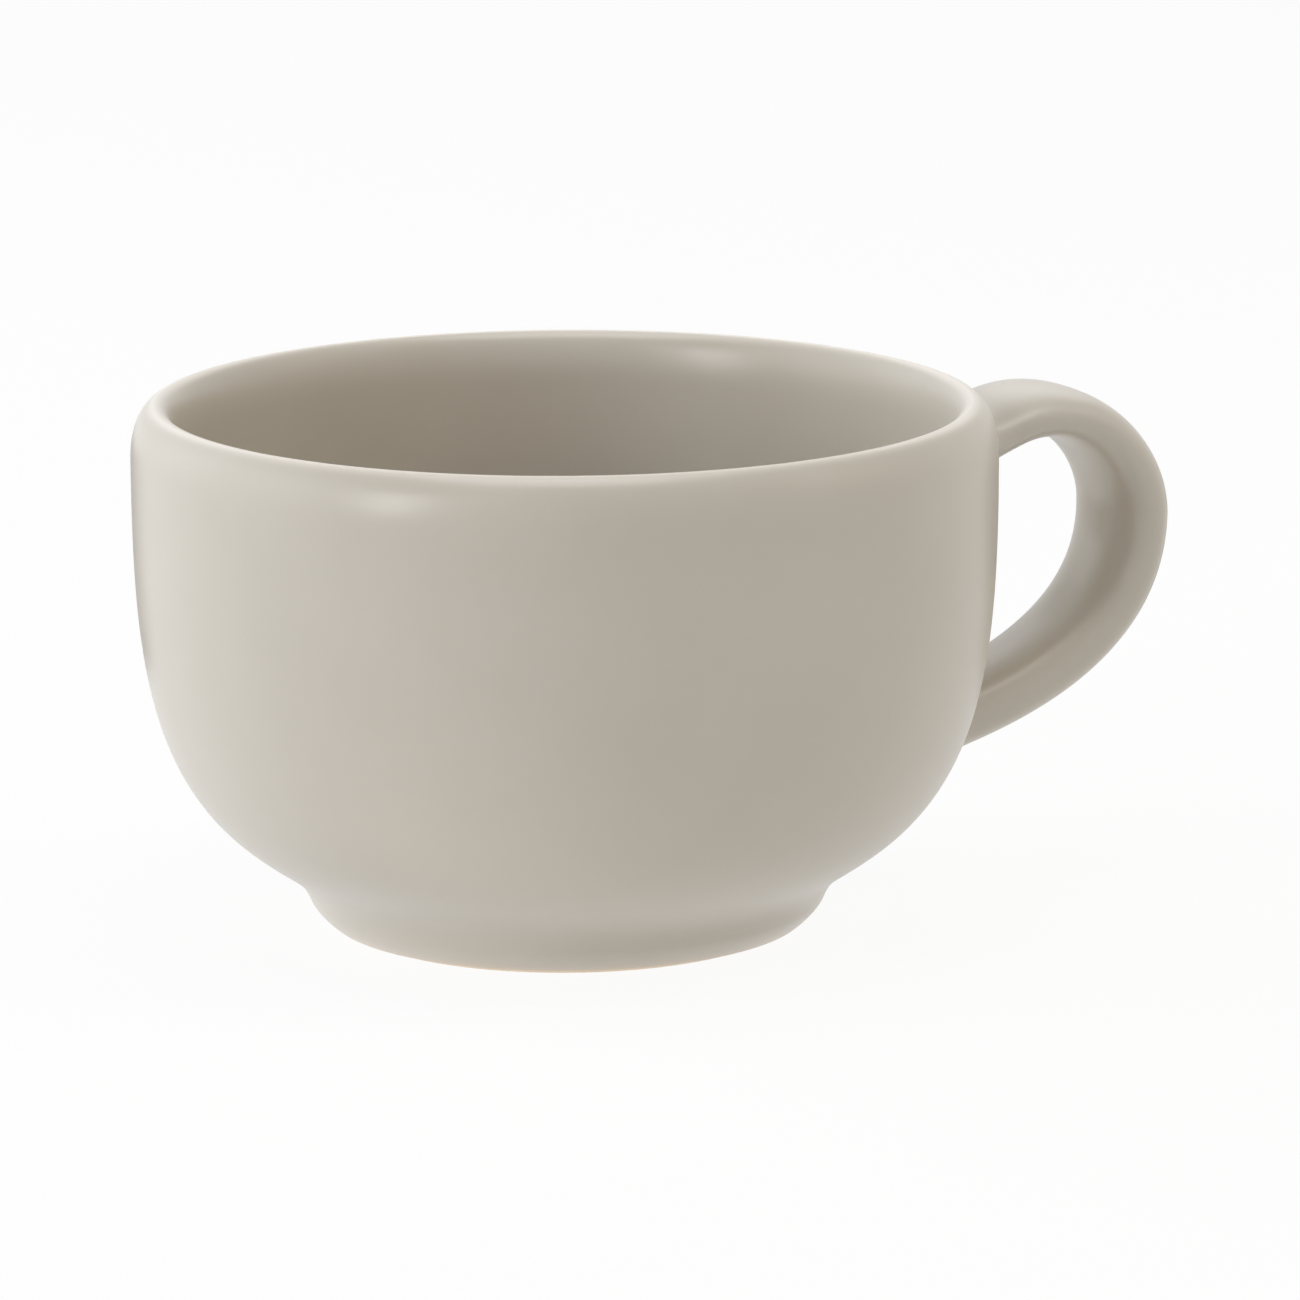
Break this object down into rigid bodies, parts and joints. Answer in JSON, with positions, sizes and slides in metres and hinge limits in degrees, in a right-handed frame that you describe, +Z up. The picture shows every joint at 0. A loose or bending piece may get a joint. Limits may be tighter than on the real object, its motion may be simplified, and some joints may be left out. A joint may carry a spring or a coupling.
{
  "type": "cappuccino cup",
  "caption": "Wide round stoneware cup with a soft rounded lip, a narrow turned foot and a loop handle, for drinking hot milk coffee.",
  "frame": {"origin": "centre of the foot's flat resting edge, on the cup's axis", "axes": "+Z up along the cup's axis, +X towards the handle, +Y across the handle's plane"},
  "size_m": [0.1323, 0.105, 0.0648],
  "materials": {
    "clay": "bare fired stoneware, matt and slightly gritty",
    "slip": "fired slip under the same satin glaze",
    "glaze": "warm grey-beige satin glaze with a soft sheen"
  },
  "bodies": {
    "root": {"bowl": "clay", "foot_ring": "clay", "handle": "clay", "upper_slip_joint": "slip", "lower_slip_joint": "slip", "liner_glaze": "glaze", "outer_glaze": "glaze", "handle_glaze": "glaze", "base_glaze": "glaze"}
  },
  "joints": []
}
